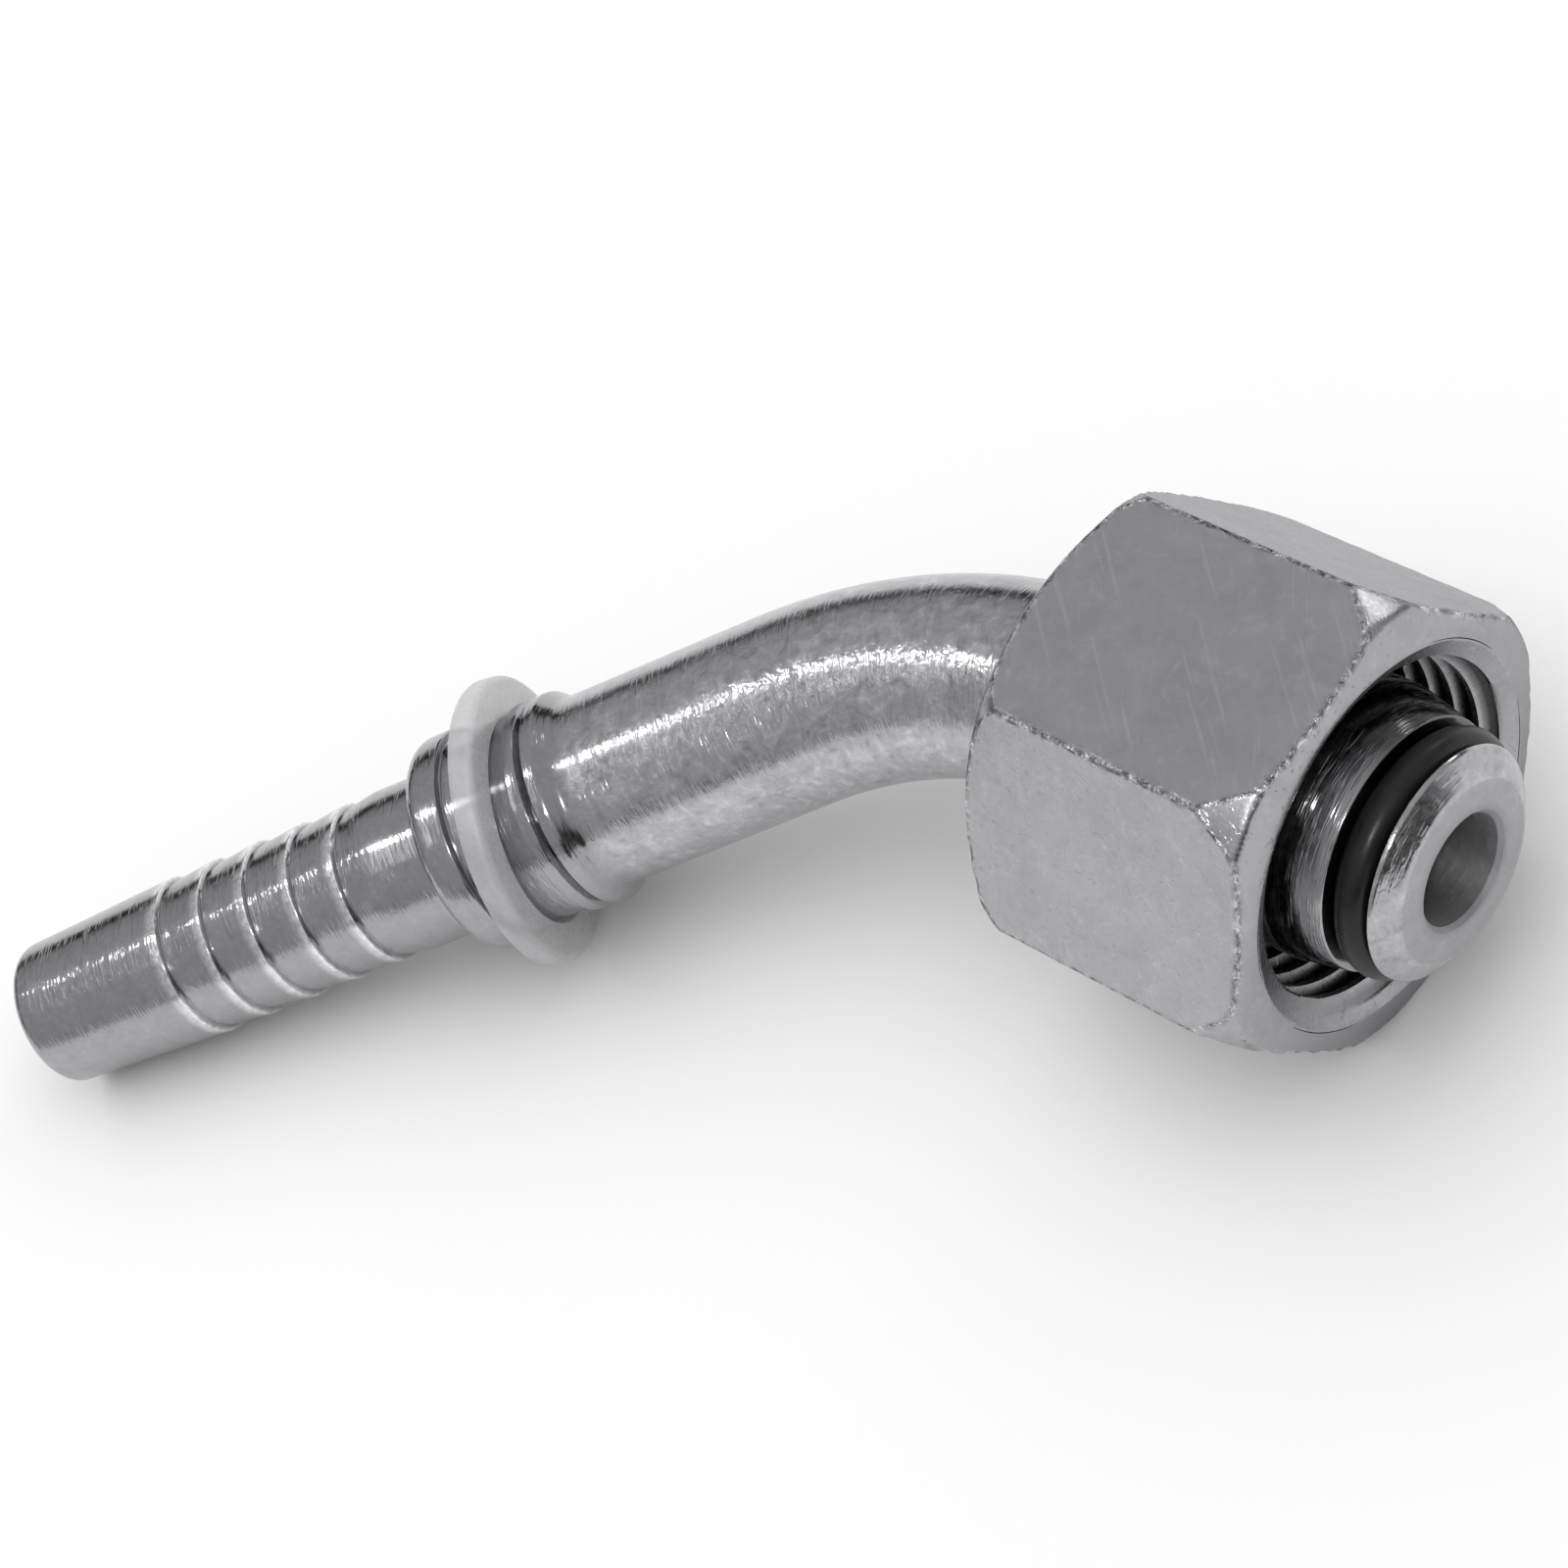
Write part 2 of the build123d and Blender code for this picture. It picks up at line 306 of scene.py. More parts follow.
def nut_material():
    """Zinc plate on a drawn hexagon: scratches on the flats, bruised edges, painted shade in the thread."""
    m = Nodes("plated_steel_nut")
    co = m.attr("flow").outputs["Vector"]            # the nut's own x, y, z in mm
    edge = m.attr("edge").outputs["Fac"]             # 1 on an outer edge, fading over a few tenths
    turned = m.attr("turned").outputs["Fac"]         # 1 on turned faces
    dark = m.attr("dark").outputs["Fac"]             # painted shade: 1 in the roots of the thread and behind it
    cloud = m.noise(m.scale(co, (0.30, 0.30, 0.30)), 1.0, 5.0, 0.62, 0.6)
    patch = m.noise(m.scale(co, (1.1, 1.1, 1.1)), 1.0, 4.0, 0.6, 0.8)
    grain = m.noise(m.scale(co, (4.0, 4.0, 4.0)), 1.0, 3.0, 0.55)
    scr_a = m.noise(m.turned(co, (0.0, 0.0, math.radians(41)), (0.10, 2.6, 2.6)), 1.0, 2.0, 0.5, 0.10)
    scr_b = m.noise(m.turned(co, (0.0, 0.0, math.radians(58)), (0.16, 4.2, 4.2)), 1.0, 2.0, 0.5, 0.10)
    line_a = m.ramp(scr_a, [(0.63, 0.0), (0.69, 1.0), (0.73, 0.2)])
    line_b = m.ramp(scr_b, [(0.66, 0.0), (0.71, 1.0), (0.75, 0.0)])
    lines = m.math("MAXIMUM", line_a, line_b)
    nick = m.noise(m.scale(co, (2.1, 2.1, 2.1)), 1.0, 4.0, 0.75, 0.5)
    bright = m.math("MULTIPLY", edge, m.remap(nick, 0.52, 0.60, 0.0, 1.0), True)
    gouge = m.math("MULTIPLY", edge, m.remap(nick, 0.50, 0.40, 0.0, 1.0), True)
    grey = m.ramp(cloud, [(0.25, (0.39, 0.39, 0.40)), (0.55, (0.442, 0.442, 0.454)), (0.85, (0.495, 0.495, 0.51))])
    grey = m.mix(m.remap(patch, 0.56, 0.72, 0.0, 0.35), grey, (0.60, 0.60, 0.615))
    grey = m.mix(m.remap(patch, 0.44, 0.30, 0.0, 0.30), grey, (0.36, 0.36, 0.37))
    grey = m.mix(m.math("MULTIPLY", lines, 0.26), grey, (0.70, 0.70, 0.715))
    grey = m.mix(m.math("MULTIPLY", turned, 0.20), grey, (0.20, 0.20, 0.205))
    grey = m.mix(m.math("MULTIPLY", bright, 0.85), grey, (0.88, 0.88, 0.89))
    grey = m.mix(m.math("MULTIPLY", gouge, 0.75), grey, (0.09, 0.09, 0.092))
    # painted shade in the thread's roots and deep inside the nut
    grey = m.mix(m.math("MULTIPLY", dark, 0.92), grey, (0.035, 0.035, 0.036))
    rough = m.math("ADD", m.remap(grain, 0.3, 0.7, 0.25, 0.32), m.math("MULTIPLY", bright, -0.06))
    rough = m.math("SUBTRACT", rough, m.math("MULTIPLY", turned, 0.06))
    n1 = m.bump(grain, 0.00002, 0.28)
    n2 = m.bump(lines, 0.000012, 0.7, n1)
    n3 = m.bump(patch, 0.00003, 0.20, n2)
    n4 = m.bump(m.math("MULTIPLY", edge, nick), 0.00016, 0.9, n3)
    bsdf = m.principled(Base_Color=grey, Metallic=1.0, Roughness=rough, Normal=n4)
    bsdf.inputs["Specular Tint"].default_value = (0.70, 0.70, 0.71, 1.0)
    return m.mat


def rubber_material():
    m = Nodes("black_rubber")
    co = m.attr("flow").outputs["Vector"]
    dust = m.noise(m.scale(co, (5.0, 5.0, 5.0)), 1.0, 3.0, 0.6)
    cloud = m.noise(m.scale(co, (0.5, 0.5, 0.5)), 1.0, 3.0, 0.5, 0.4)
    col = m.ramp(cloud, [(0.25, (0.006, 0.006, 0.0065)), (0.75, (0.014, 0.014, 0.015))])
    col = m.mix(m.remap(dust, 0.70, 0.80, 0.0, 0.5), col, (0.18, 0.18, 0.18))
    rough = m.remap(cloud, 0.25, 0.75, 0.26, 0.42)
    n1 = m.bump(dust, 0.00003, 0.25)
    bsdf = m.principled(Base_Color=col, Metallic=0.0, Roughness=rough, Normal=n1)
    bsdf.inputs["Specular IOR Level"].default_value = 0.30
    return m.mat


def plastic_material():
    m = Nodes("clear_plastic")
    co = m.attr("flow").outputs["Vector"]
    haze = m.noise(m.scale(co, (0.55, 0.55, 0.55)), 1.0, 3.0, 0.5, 0.5)
    mark = m.noise(m.scale(co, (3.0, 3.0, 3.0)), 1.0, 3.0, 0.6)
    col = m.ramp(haze, [(0.25, (0.60, 0.603, 0.612)), (0.75, (0.68, 0.683, 0.692))])
    alpha = m.remap(haze, 0.3, 0.7, 0.54, 0.60)
    rough = m.remap(mark, 0.3, 0.7, 0.24, 0.36)
    n1 = m.bump(mark, 0.00004, 0.25)
    bsdf = m.principled(Base_Color=col, Metallic=0.0, Roughness=rough, Normal=n1, Alpha=alpha)
    bsdf.inputs["IOR"].default_value = 1.5
    return m.mat


steel = stem_material()
nut_steel = nut_material()
rubber = rubber_material()
plastic = plastic_material()


# ---------------------------------------------------------------- stem
def build_stem():
    cone_r1 = 6.96 + (6.55 - 3.50) * math.tan(math.radians(12.0))
    nose = fillet_path(
        [(0, bore_r + 0.25), (0, 5.10), (0.95, 6.38), (1.20, 6.43), (1.20, 4.85), (3.50, 4.85), (3.50, 6.96),
         (6.55, cone_r1), (8.05, cone_r1), (9.60, 6.06), (10.60, tube_r), (run_x, tube_r)],
        [0, 0.90, 0.40, 0.10, 0.20, 0.20, 0.12, 0.40, 0.40, 0.8, 0.8, 0], 6.0)
    nose = densify(nose, 0.8)
    base = run_x + arc_len
    bend = [np.array([run_x + arc_len * i / 44, tube_r]) for i in range(1, 44)]
    points = [(0, tube_r), (12.70, tube_r), (13.45, 6.30), (14.15, 6.30), (14.40, 5.75), (14.65, 6.30), (15.40, 6.30),
              (15.40, 6.00), (19.75, 6.00), (19.75, 6.50), (22.10, 6.50), (22.10, tail_r), (land_s1, tail_r)]
    radii = [0, 0.6, 0.35, 0.10, 0, 0.10, 0.05, 0.10, 0.10, 0.15, 1.0, 0.20, 0]
    for k in range(barbs):
        s = crest_s + k * pitch
        points += [(s, root_r), (s + 0.12, tail_r)]
        radii += [0.05, 0.035]
    points += [(tip_s, tip_r), (tip_s, bore_r + 0.4)]
    radii += [tip_round, 0]
    tail = densify(fillet_path(points, radii), 0.8)
    tail = [p + np.array([base, 0]) for p in tail]
    inner = [np.array([base + tip_s - 0.4, bore_r])]
    inner += [np.array([base + (tip_s - 0.4) * (1 - i / 12), bore_r]) for i in range(1, 13)]
    inner += [np.array([run_x + arc_len * (1 - i / 24), bore_r]) for i in range(1, 25)]
    inner += [np.array([run_x * (1 - i / 8), bore_r]) for i in range(1, 8)]
    inner += [np.array([0.25, bore_r])]
    path = nose + bend + tail + inner
    keep = [path[0]]
    for p in path[1:]:
        if np.linalg.norm(p - keep[-1]) > 1e-4:
            keep.append(p)
    path = keep
    n = 144
    verts, flow, raw, hoop, dark, peel, wear_and_glint, inside = [], [], [], [], [], [], [], []
    for s, r in path:
        c, t = centreline(s)
        e = np.cross(t, bend_normal)
        outer = r > bore_r + 0.5
        on_tube = 1.0 if outer and 10.0 < s < base + 12.0 else (0.8 if outer and s < 1.25 and r > 5.0 else 0.0)
        # painted shade: the passage darkens with depth from each end, and the nose darkens inside the nut
        if not outer:
            painted_shade = min(0.9, 0.02 + 0.09 * min(s, base + tip_s - s)) if s > 0.1 else 0.0
        else:
            painted_shade = 0.85 * min(1.0, max(0.0, (s - 5.6) / 3.0)) * min(1.0, max(0.0, (22.6 - s) / 1.5))
        # the barbs' edges, for the painted highlight along their crests
        k = (s - base - crest_s) % pitch
        on_edge = 1.0 if outer and base + crest_s - 0.05 < s < base + crest_s + (barbs - 1) * pitch + 0.3 and (0.02 < k < 0.20) else 0.0
        for i in range(n):
            g = 2 * math.pi * i / n
            cy, cz = math.cos(g), math.sin(g)
            rr = r
            if outer:
                # slightly uneven plate and drawn tube, always inside the CAD's own surface
                dip = 0.5 + 0.5 * wob(s * 0.6, cy * 2.2, cz * 2.2, 1.0, 3.0)
                rr -= (0.016 if on_tube > 0.9 else 0.007) * dip
            verts.append(c + rr * (e * cy + bend_normal * cz))
            flow.append((s, r * cy, r * cz))
            raw.append((on_tube,))
            # painted shade: the back of the nose lies in the shade of the nut's mouth
            nrm = e * cy + bend_normal * cz
            shade = 0.0
            if outer and 3.4 < s < 8.3:
                shade = 0.80 * min(1.0, max(0.0, (nrm[1] * 0.80 + nrm[2] * 0.60 - 0.52) / 0.28))
            dark.append((max(painted_shade, shade),))
            wear_and_glint.append((on_edge,))
            inside.append((0.0 if outer else 1.0,))
            hoop.append(tuple(bend_normal * cy - e * cz))
            # the scuffed band lies along the upper side, strongest on the bend
            off = math.degrees(math.acos(max(-1.0, min(1.0, nrm[2] * 0.93 - nrm[1] * 0.37))))
            band = math.exp(-(off / 24.0) ** 2) * on_tube
            peel.append((band * (0.30 + 0.70 * min(1.0, max(0.0, (base + 8.0 - s) / 8.0))),))
    m = len(path)
    faces = [(j * n + i, j * n + (i + 1) % n, ((j + 1) % m) * n + (i + 1) % n, ((j + 1) % m) * n + i) for j in range(m) for i in range(n)]
    obj = make_object("elbow_body", verts, faces, {"flow": flow, "raw": raw, "dark": dark, "hoop": hoop, "peel": peel, "wear_and_glint": wear_and_glint, "inner": inside}, "stem", steel)
    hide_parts("elbow_stem")
    return obj


# ---------------------------------------------------------------- nut
nut_gap, nut_len = 4.45, 18.5
corner_round = 0.35
face_r, face_blend = 11.40, 3.6
front_break_x, front_break_r, front_slope = 0.55, 12.85, 2.6
back_r = 11.48
back_break_x, back_break_r, back_slope = 1.15, 13.20, 2.0
mouth_r, minor_r, major_r = 10.64, 9.19, 10.02
thread_pitch, thread_x1 = 1.5, 10.5
relief_x1, relief_r = 12.0, 10.15
seat_x, seat_in_r, back_bore_r = 13.0, 8.20, 6.50


def hex_outline():
    """Points round the hexagon: (y, z, distance to the nearest corner's middle)."""
    half = 12.0 * math.tan(math.radians(30))
    cut = corner_round * math.tan(math.radians(30))
    near = [0.0, 0.10, 0.22, 0.38, 0.60]
    ts = [-(half - cut) + d for d in near]
    count = 36
    inner = [ts[-1] + (-2 * ts[-1]) * i / count for i in range(1, count)]
    ts = ts + inner + [-t for t in reversed(ts)]
    out = []
    for k in range(6):
        a = math.radians(30 + 60 * k)
        nrm, tan = np.array([math.cos(a), math.sin(a)]), np.array([-math.sin(a), math.cos(a)])
        for t in ts:
            out.append((nrm * 12.0 + tan * t, (half - abs(t))))
        centre = nrm * (12.0 - corner_round) + tan * (half - cut)
        for i in range(1, 4):
            g = a + math.radians(60) * i / 4
            out.append((centre + corner_round * np.array([math.cos(g), math.sin(g)]), 0.0))
    return out


def build_nut():
    x0, xb = -nut_gap, -nut_gap - nut_len
    front = fillet_path([(0, mouth_r), (0, face_r), (front_break_x, front_break_r),
                         (front_break_x + (15 - front_break_r) * front_slope, 15)], [0, face_blend, 0.20, 0], 4.0)
    back = fillet_path([(0, back_bore_r + 0.5), (0, back_r), (back_break_x, back_break_r),
                        (back_break_x + (15 - back_break_r) * back_slope, 15)], [0, 0.25, 0.40, 0], 8.0)

    def cut_at(profile, radius):
        """The part of a profile within the radius, and its depth there."""
        kept = [profile[0]]
        for a, b in zip(profile[:-1], profile[1:]):
            if b[1] >= radius:
                f = (radius - a[1]) / (b[1] - a[1])
                kept.append(a + (b - a) * f)
                return kept
            kept.append(b)
        return kept

    columns = hex_outline()
    rows_face, rows_side = 20, 34
    verts, flow, edge, turned, dark = [], [], [], [], []
    grid = []

    def along(points, distances):
        """Points at distances along a polyline."""
        seg = np.cumsum([0] + [np.linalg.norm(b - a) for a, b in zip(points[:-1], points[1:])])
        out = []
        for d in distances:
            d = min(max(d, 0), seg[-1])
            k = min(max(np.searchsorted(seg, d) - 1, 0), len(points) - 2)
            f = (d - seg[k]) / max(seg[k + 1] - seg[k], 1e-9)
            out.append(points[k] + (points[k + 1] - points[k]) * f)
        return out, seg[-1]

    for p, corner in columns:
        radius = float(np.hypot(*p))
        ray = p / radius
        f_pts, b_pts = cut_at(front, radius), cut_at(back, radius)
        depth_f, depth_b = f_pts[-1][0], b_pts[-1][0]

        def rows_of(points, total_rows):
            length = along(points, [0])[1]
            tight = [0.05, 0.13, 0.26, 0.45]
            tight = [min(t, 0.12 * length * (i + 1)) for i, t in enumerate(tight)]
            inner_end = length - tight[-1]
            ds = [inner_end * i / (total_rows - len(tight) - 1) for i in range(total_rows - len(tight))]
            ds += [length - t for t in reversed(tight[:-1])] + [length]
            return along(points, ds)[0], [length - d for d in ds]

        fr, fd = rows_of(f_pts, rows_face)
        br, bd = rows_of(b_pts, rows_face)
        column = []
        for q, d in zip(br, bd):
            column.append((xb + q[0], ray * q[1], d, 0))
        x_start, x_end = xb + depth_b, x0 - depth_f
        length = x_end - x_start
        tight = [0.05, 0.13, 0.26, 0.45, 0.8]
        mids = [tight[-1] + (length - 2 * tight[-1]) * i / (rows_side - 10) for i in range(rows_side - 9)]
        ds = tight[:-1] + mids + [length - t for t in reversed(tight[:-1])]
        for d in ds:
            column.append((x_start + d, p, min(d, length - d), 1))
        for q, d in zip(reversed(fr), reversed(fd)):
            column.append((x0 - q[0], ray * q[1], d, 2))
        ids = []
        for x, yz, d_arc, zone in column:
            y, z = float(yz[0]), float(yz[1])
            r = math.hypot(y, z)
            near_corner = corner if zone == 1 else 9.0
            d_edge = min(d_arc, near_corner) if r > 11.6 else 9.0
            e = math.exp(-(d_edge / 0.22) ** 2) if d_edge < 1.5 else 0.0
            pull = 0.0
            if d_edge < 0.6:
                hit = max(0.0, wob(x, y, z, 1.3, 5.0) + 0.10) * 1.5 + 0.6 * max(0.0, wob(x, y, z, 3.3, 9.0))
                pull = (0.030 + 0.13 * hit) * math.exp(-(d_edge / 0.20) ** 2)
            wave = 0.010 * (0.5 + 0.5 * wob(x, y, z, 0.35, 1.0)) if zone == 1 else 0.0
            k = 1.0 - (pull + wave) / r
            shift = 0.0
            if zone != 1 or d_arc < near_corner:
                shift = pull * 0.7 * (-1.0 if x > -13.7 else 1.0) * (1.0 if d_arc < 0.6 else 0.0)
            ids.append(len(verts))
            verts.append((x + shift, y * k, z * k))
            flow.append((x, y, z))
            edge.append((e,))
            turned.append((0.0 if zone == 1 or r > front_break_r - 0.2 else 1.0,))
            dark.append((0.0,))
        grid.append(ids)
    faces = []
    n = len(grid)
    for i in range(n):
        a, b = grid[i], grid[(i + 1) % n]
        for j in range(len(a) - 1):
            faces.append((a[j], a[j + 1], b[j + 1], b[j]))

    # inside: mouth chamfer and thread on rows that follow the helix, then relief, seat and back bore
    N = 180
    stations = []
    p = thread_pitch
    crest, flank, root = 0.23 * p, 0.325 * p, 0.12 * p

    def thread_at(u):
        """Radius of the thread at a phase u in mm along the axis."""
        u = u % p
        if u < crest:
            return minor_r
        u -= crest
        if u < flank:
            return minor_r + (major_r - minor_r) * (u / flank)
        u -= flank
        if u < root:
            return major_r
        u -= root
        return major_r - (major_r - minor_r) * min(1.0, u / (p - crest - flank - root))

    marks = [0.0, 0.05, crest * 0.5, crest - 0.05, crest, crest + 0.06, crest + flank * 0.35, crest + flank * 0.7, crest + flank - 0.03,
             crest + flank + 0.03, crest + flank + root - 0.03, crest + flank + root + 0.03]
    tail_len = p - crest - flank - root
    marks += [crest + flank + root + tail_len * 0.35, crest + flank + root + tail_len * 0.7, p - 0.06]
    m = len(marks)
    turns = int(thread_x1 / p) + 3
    u_rows = [k * p + mk - p for k in range(turns) for mk in marks]
    inside = []
    for i in range(N + 1):
        g = 2 * math.pi * i / N
        ids = []
        for u in u_rows:
            depth = u + p * i / N
            d = min(max(depth, 0.0), thread_x1)
            chamfer = mouth_r - d * (mouth_r - minor_r) / 0.90
            r = max(thread_at(u), chamfer) if 0.0 < depth < thread_x1 else (mouth_r if depth <= 0 else relief_r)
            if depth >= thread_x1 - 0.30 and depth < thread_x1:
                r = max(r, minor_r + (relief_r - minor_r) * (depth - thread_x1 + 0.30) / 0.30)
            # real wear: the thread's crests are worn back a little, unevenly
            wear_and_glint = 0.006 * wob(d * 0.5, math.cos(g) * 3, math.sin(g) * 3, 0.9, 2.0)
            r2 = r + (abs(wear_and_glint) if minor_r - 0.01 <= r < 10.5 and 0.05 < d < thread_x1 - 0.05 else 0.0)
            ids.append(len(verts))
            verts.append((x0 - d, math.cos(g) * r2, math.sin(g) * r2))
            flow.append((x0 - d, math.cos(g) * r, math.sin(g) * r))
            edge.append((0.0,))
            turned.append((0.0,))
            # painted shade: dark in the thread's roots, and deeper than 6.5 mm in
            deep = min(1.0, max(0.0, (r - minor_r - 0.10) / 0.30)) * min(1.0, max(0.0, (r - chamfer) / 0.30))
            dark.append((max(deep, 0.9 * min(1.0, max(0.0, (d - 6.5) / 3.0))),))
        inside.append(ids)
    for i in range(N):
        a, b = inside[i], inside[i + 1]
        for j in range(len(u_rows) - 1):
            faces.append((a[j], b[j], b[j + 1], a[j + 1]))
    rest = fillet_path([(thread_x1, relief_r), (relief_x1, relief_r), (relief_x1, seat_in_r), (seat_x, seat_in_r),
                        (seat_x + seat_in_r - back_bore_r, back_bore_r), (nut_len - 0.5, back_bore_r), (nut_len, back_bore_r + 0.5)],
                       [0, 0.2, 0.1, 0.1, 0.2, 0.1, 0])
    rings = []
    for q in rest:
        ids = []
        for i in range(N):
            g = 2 * math.pi * i / N
            ids.append(len(verts))
            v = (x0 - q[0], math.cos(g) * q[1], math.sin(g) * q[1])
            verts.append(v)
            flow.append(v)
            edge.append((0.0,))
            turned.append((0.0,))
            # painted shade on the relief, seat and back bore, lighter at the back's mouth
            dark.append((0.9 if q[0] < nut_len - 0.6 else 0.2,))
        rings.append(ids)
    for a, b in zip(rings[:-1], rings[1:]):
        for i in range(N):
            faces.append((a[i], a[(i + 1) % N], b[(i + 1) % N], b[i]))

    # the outer skin ends at the mouth and at the back bore on its own columns, so strips join the two
    def strip(outer, ring):
        """Faces between two closed rings with different numbers of points, both in order of angle."""
        ang = lambda k: math.atan2(verts[k][2], verts[k][1]) % (2 * math.pi)
        A = sorted(outer, key=ang)
        B = sorted(ring, key=ang)
        i = j = 0
        na, nb = len(A), len(B)
        out = []
        while i < na or j < nb:
            ta = ang(A[(i + 1) % na]) + (2 * math.pi if i + 1 >= na else 0)
            tb = ang(B[(j + 1) % nb]) + (2 * math.pi if j + 1 >= nb else 0)
            if j >= nb or (i < na and ta <= tb):
                out.append((A[i % na], A[(i + 1) % na], B[j % nb]))
                i += 1
            else:
                out.append((A[i % na], B[(j + 1) % nb], B[j % nb]))
                j += 1
        return out

    def ring_at(x, r, points):
        ids = []
        for i in range(points):
            g = 2 * math.pi * i / points
            ids.append(len(verts))
            v = (x, math.cos(g) * r, math.sin(g) * r)
            verts.append(v)
            flow.append(v)
            edge.append((0.0,))
            turned.append((1.0,))
            dark.append((0.0,))
        return ids

    front_ring = ring_at(x0, mouth_r, N)
    back_ring = ring_at(xb, back_bore_r + 0.5, N)
    # the skin's own end rows are moved just outside these rings, and the gap is closed with the strip
    for ids in grid:
        for k, r in ((ids[-1], mouth_r + 0.12), (ids[0], back_bore_r + 0.5 + 0.12)):
            x, y, z = verts[k]
            q = math.hypot(y, z)
            verts[k] = (x, y / q * r, z / q * r)
    faces += strip([ids[-1] for ids in grid], front_ring)
    faces += strip([ids[0] for ids in grid], back_ring)
    obj = make_object("hex_nut", verts, faces, {"flow": flow, "edge": edge, "turned": turned, "dark": dark}, "nut", nut_steel, 40.0)
    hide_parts("swivel_nut")
    return obj


# ---------------------------------------------------------------- O-ring and plastic ring
def build_o_ring():
    n, k = 160, 32
    verts, flow = [], []
    for i in range(n):
        g = 2 * math.pi * i / n
        for j in range(k):
            h = 2 * math.pi * j / k
            # a fine parting line runs round the outside, and the cord lies a little unevenly
            r = 0.985 + (0.010 * math.exp(-(math.sin(h) / 0.10) ** 2) if math.cos(h) > 0 else 0.0)
            mid_r = 4.85 + 1.01 + 0.010 * math.sin(3 * g)
            x = -2.36 + r * math.sin(h) + 0.008 * math.sin(2 * g + 1)
            rad = mid_r + r * math.cos(h)
            verts.append((x, rad * math.cos(g), rad * math.sin(g)))
            flow.append(verts[-1])
    faces = [(i * k + j, ((i + 1) % n) * k + j, ((i + 1) % n) * k + (j + 1) % k, i * k + (j + 1) % k) for i in range(n) for j in range(k)]
    obj = make_object("seal_cord", verts, faces, {"flow": flow}, "stem", rubber, 60.0)
    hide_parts("o_ring")
    return obj


def build_ring():
    ring_r, hole_r, t = 8.44, 6.20, 1.60
    centre = tail_start + tail_dir * 17.72

    def about(v, axis, deg):
        a = axis / np.linalg.norm(axis)
        g = math.radians(deg)
        return v * math.cos(g) + np.cross(a, v) * math.sin(g) + a * (a @ v) * (1 - math.cos(g))

    nrm = about(tail_dir, bend_normal, 4.6)
    across = np.cross(bend_normal, nrm)
    nrm = about(nrm, across, 5.3)
    u = np.cross(nrm, [0, 0, 1.0])
    u /= np.linalg.norm(u)
    w = np.cross(nrm, u)
    prof = fillet_path([(hole_r + 1.0, -t / 2), (hole_r, -t / 2), (hole_r, t / 2), (ring_r, t / 2), (ring_r, -t / 2), (hole_r + 1.0, -t / 2)],
                       [0, 0.12, 0.12, 0.45, 0.45, 0], 10.0)[:-1]
    n, k = 180, len(prof)
    verts, flow = [], []
    for i in range(n):
        g = 2 * math.pi * i / n
        for r, a in prof:
            dip = 0.02 * (0.5 + 0.5 * wob(math.cos(g) * 2, math.sin(g) * 2, a * 0.5, 1.0, 7.0)) if r > 7.0 else 0.0
            v = centre + (r - dip) * (math.cos(g) * u + math.sin(g) * w) + a * 0.995 * nrm
            verts.append(v)
            flow.append(tuple(v))
    faces = [(i * k + j, ((i + 1) % n) * k + j, ((i + 1) % n) * k + (j + 1) % k, i * k + (j + 1) % k) for i in range(n) for j in range(k)]
    obj = make_object("collar_ring", verts, faces, {"flow": flow}, "stem", plastic, 35.0)
    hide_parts("locating_ring")
    return obj


build_stem()
build_nut()
build_o_ring()
build_ring()

# ---------------------------------------------------------------- floor
floor_mesh = bpy.data.meshes.new("floor")
fb = bmesh.new()
bmesh.ops.create_circle(fb, cap_ends=True, segments=96, radius=1.6)
fb.to_mesh(floor_mesh)
fb.free()
floor = bpy.data.objects.new("floor", floor_mesh)
floor.location = (-0.03, -0.01, -0.01202)
bpy.context.scene.collection.objects.link(floor)
fm = Nodes("pale_floor")
fm.principled(Base_Color=(0.94, 0.94, 0.94, 1.0), Roughness=0.9)
floor_mesh.materials.append(fm.mat)

# ---------------------------------------------------------------- light
scene = bpy.context.scene
world = bpy.data.worlds.new("studio")
scene.world = world
world.use_nodes = True
wt = world.node_tree
wt.nodes.clear()
wout = wt.nodes.new("ShaderNodeOutputWorld")
wbg = wt.nodes.new("ShaderNodeBackground")
coord = wt.nodes.new("ShaderNodeTexCoord")
sep = wt.nodes.new("ShaderNodeSeparateXYZ")
wt.links.new(coord.outputs["Generated"], sep.inputs[0])


def world_ramp(source, stops):
    n = wt.nodes.new("ShaderNodeValToRGB")
    e = n.color_ramp.elements
    while len(e) > 1:
        e.remove(e[-1])
    for i, (pos, v) in enumerate(stops):
        k = e[0] if i == 0 else e.new(pos)
        k.position = pos
        k.color = (v, v, v * 1.01, 1)
    wt.links.new(source, n.inputs[0])
    return n.outputs["Color"]


near_side = world_ramp(sep.outputs["Z"], [(0.0, 0.50), (0.15, 0.48), (0.45, 0.505), (1.0, 0.575)])
far_side = world_ramp(sep.outputs["Z"], [(0.0, 0.26), (0.05, 0.02), (0.19, 0.01), (0.27, 0.40), (0.50, 0.51), (1.0, 0.575)])
front_side = world_ramp(sep.outputs["Z"], [(0.0, 0.03), (0.26, 0.04), (0.42, 0.44), (1.0, 0.575)])


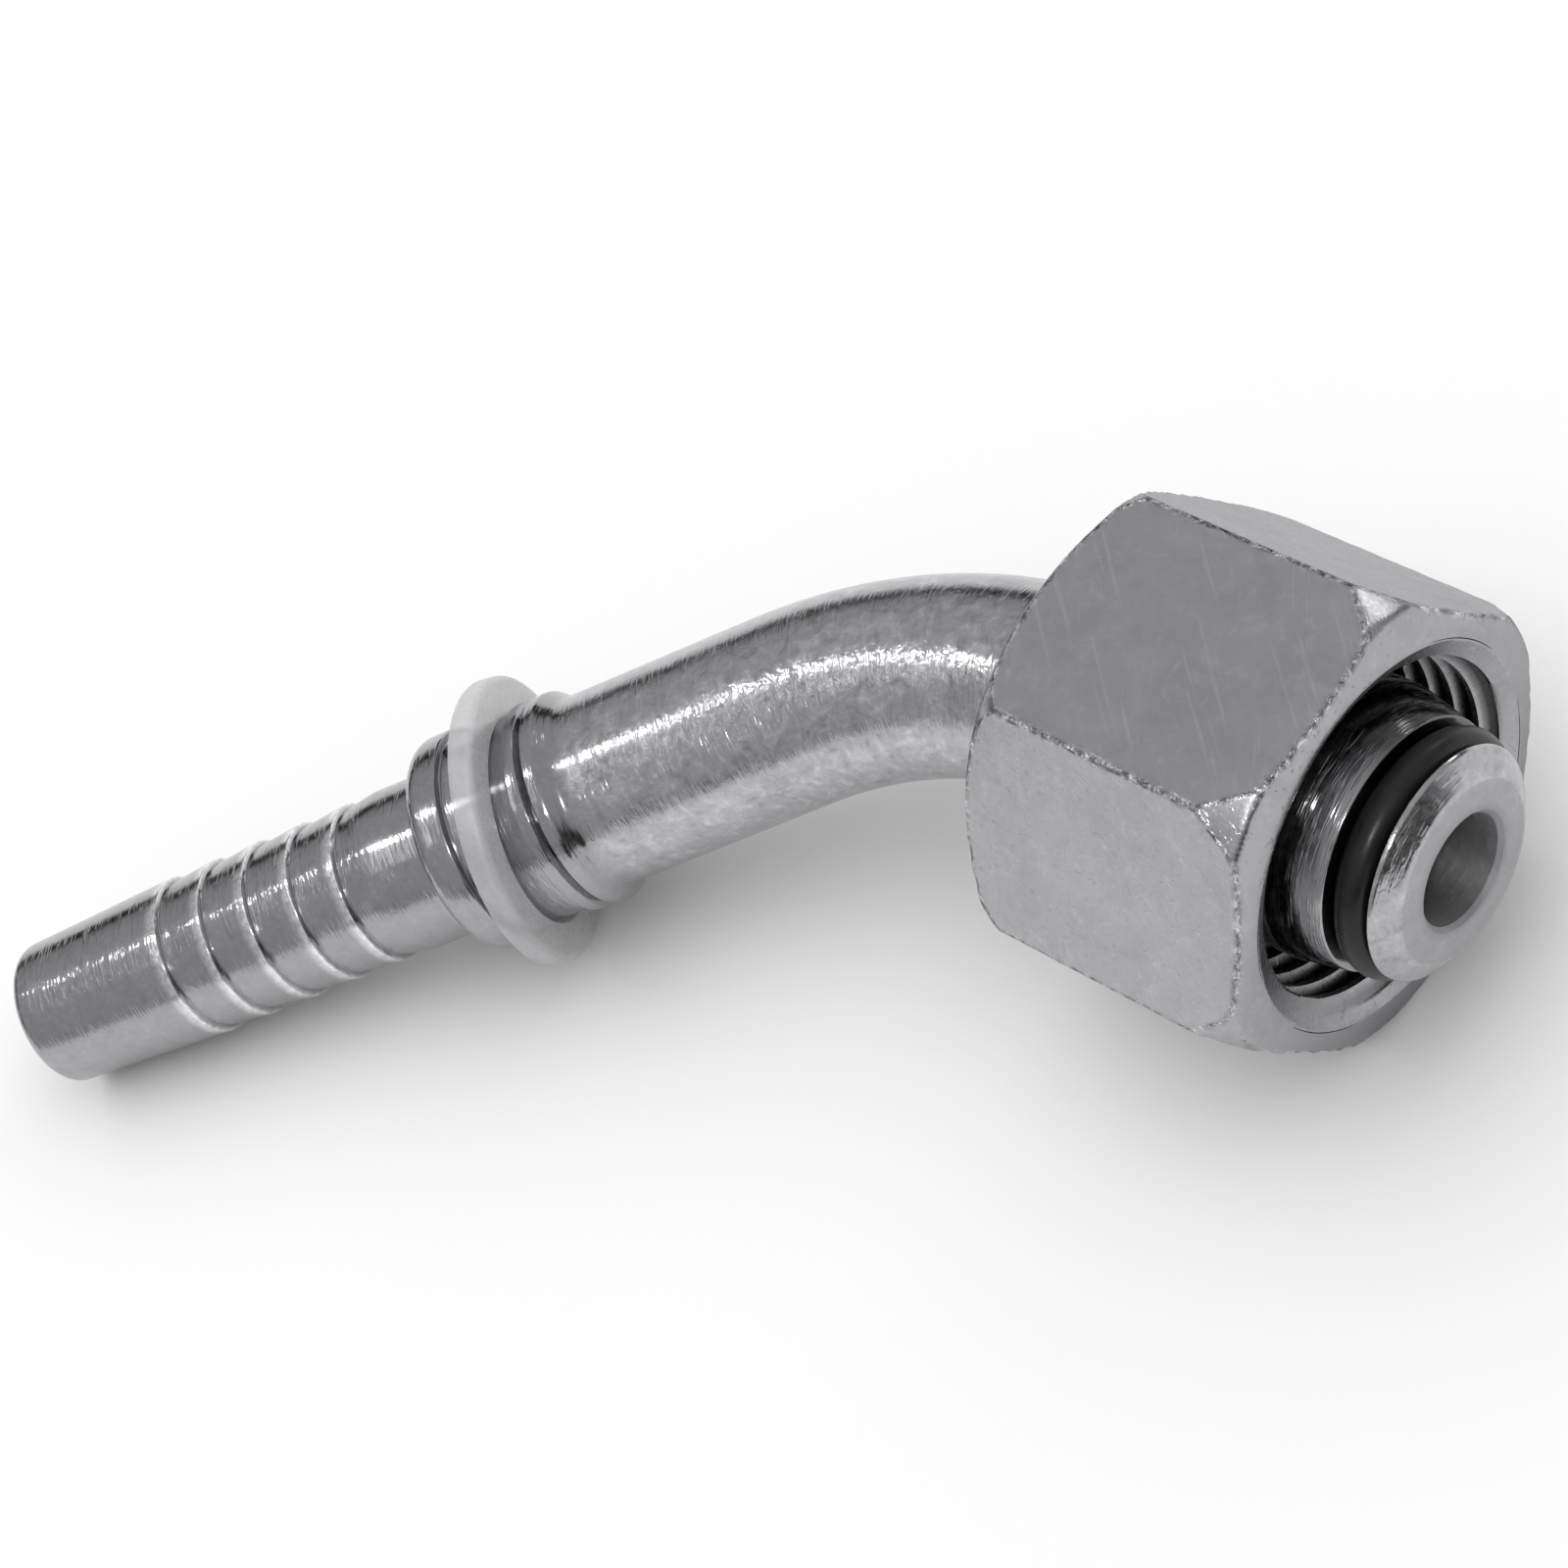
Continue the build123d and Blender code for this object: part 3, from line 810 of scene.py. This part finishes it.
def world_toward(base, seen, direction, start, end):
    """The part of the sky round a direction gets its own gradient."""
    dot = wt.nodes.new("ShaderNodeVectorMath")
    dot.operation = "DOT_PRODUCT"
    wt.links.new(coord.outputs["Generated"], dot.inputs[0])
    dot.inputs[1].default_value = direction
    fade = wt.nodes.new("ShaderNodeMapRange")
    fade.interpolation_type = "SMOOTHSTEP"
    fade.inputs["From Min"].default_value = start
    fade.inputs["From Max"].default_value = end
    wt.links.new(dot.outputs["Value"], fade.inputs["Value"])
    both = wt.nodes.new("ShaderNodeMix")
    both.data_type = "RGBA"
    wt.links.new(fade.outputs["Result"], both.inputs["Factor"])
    wt.links.new(base, both.inputs[6])
    wt.links.new(seen, both.inputs[7])
    return both.outputs[2]


sky = world_toward(near_side, far_side, (-0.87, 0.50, 0.0), -0.15, 0.35)
sky = world_toward(sky, front_side, (0.97, -0.24, 0.0), 0.55, 0.80)
# what the camera itself sees past the floor is a plain pale backdrop
ray = wt.nodes.new("ShaderNodeLightPath")
shown = wt.nodes.new("ShaderNodeMix")
shown.data_type = "RGBA"
wt.links.new(ray.outputs["Is Camera Ray"], shown.inputs["Factor"])
wt.links.new(sky, shown.inputs[6])
shown.inputs[7].default_value = (0.90, 0.90, 0.905, 1)
wt.links.new(shown.outputs[2], wbg.inputs["Color"])
wbg.inputs["Strength"].default_value = 1.0
wt.links.new(wbg.outputs[0], wout.inputs["Surface"])


def area(name, location, target, size, power, glossy=True, diffuse=True):
    data = bpy.data.lights.new(name, "AREA")
    data.shape = "DISK"
    data.size = size
    data.energy = power
    obj = bpy.data.objects.new(name, data)
    obj.location = location
    obj.rotation_mode = "QUATERNION"
    obj.rotation_quaternion = (Vector(target) - Vector(location)).to_track_quat("-Z", "Y")
    obj.visible_glossy = glossy
    obj.visible_diffuse = diffuse
    scene.collection.objects.link(obj)
    return obj


mid = Vector((-0.035, -0.012, 0.0))
lamp_dir = Vector((0.487, -0.316, 0.814))
area("lamp", mid + lamp_dir * 0.9, mid, 0.075, 2.2, diffuse=False)
# a strip that follows the way the stem bends, so its reflection runs along the stem
strip_a = Vector((-0.066, -0.751, 0.659)).lerp(Vector((-0.489, -0.314, 0.812)), 0.24).normalized()
strip_b = Vector((-0.520, -0.280, 0.807)).normalized()
strip_mid = (strip_a + strip_b).normalized()
strip = area("strip", mid + strip_mid * 0.9, mid, 0.05, 0.15, diffuse=False)
strip.data.shape = "RECTANGLE"
strip.data.size = 1.8 * math.tan(strip_a.angle(strip_b) / 2)
strip.data.size_y = 0.010
run = (strip_b - strip_a) - strip_mid * (strip_b - strip_a).dot(strip_mid)
run.normalize()
strip.rotation_quaternion = Matrix((run, strip_mid.cross(run), strip_mid)).transposed().to_quaternion()
area("kicker", mid + Vector((0.015, 0.943, 0.314)) * 0.9, mid, 0.16, 0.30, diffuse=False)
area("nose_lamp", mid + Vector((-0.489, -0.314, 0.812)) * 0.9, mid, 0.070, 0.45, diffuse=False)
area("overhead", mid + Vector((-0.15, 0.15, 1.1)), mid, 2.6, 17.0, glossy=False)

# ---------------------------------------------------------------- camera
cam_data = bpy.data.cameras.new("camera")
cam_data.lens = 92.576
cam_data.sensor_width = 36.0
cam_data.clip_start, cam_data.clip_end = 0.01, 10.0
cam_data.dof.use_dof = False
cam = bpy.data.objects.new("camera", cam_data)
right = Vector((0.71362268, 0.58108335, -0.39126054))
down = Vector((0.3725116, -0.78777928, -0.49054961))
fwd = Vector((-0.59327716, 0.20431824, -0.77863745))
roll, tilt = 0.0026, 0.0003
right, down, fwd = right + roll * down, down - roll * right + tilt * fwd, fwd - tilt * down
right.normalize()
fwd = (fwd - right * fwd.dot(right)).normalized()
down = fwd.cross(right)
rot = Matrix((right, -down, -fwd)).transposed()
cam.matrix_world = Matrix.Translation(Vector((0.09307802, -0.05709952, 0.17132103))) @ rot.to_4x4()
scene.collection.objects.link(cam)
scene.camera = cam
scene.view_settings.view_transform = "Standard"
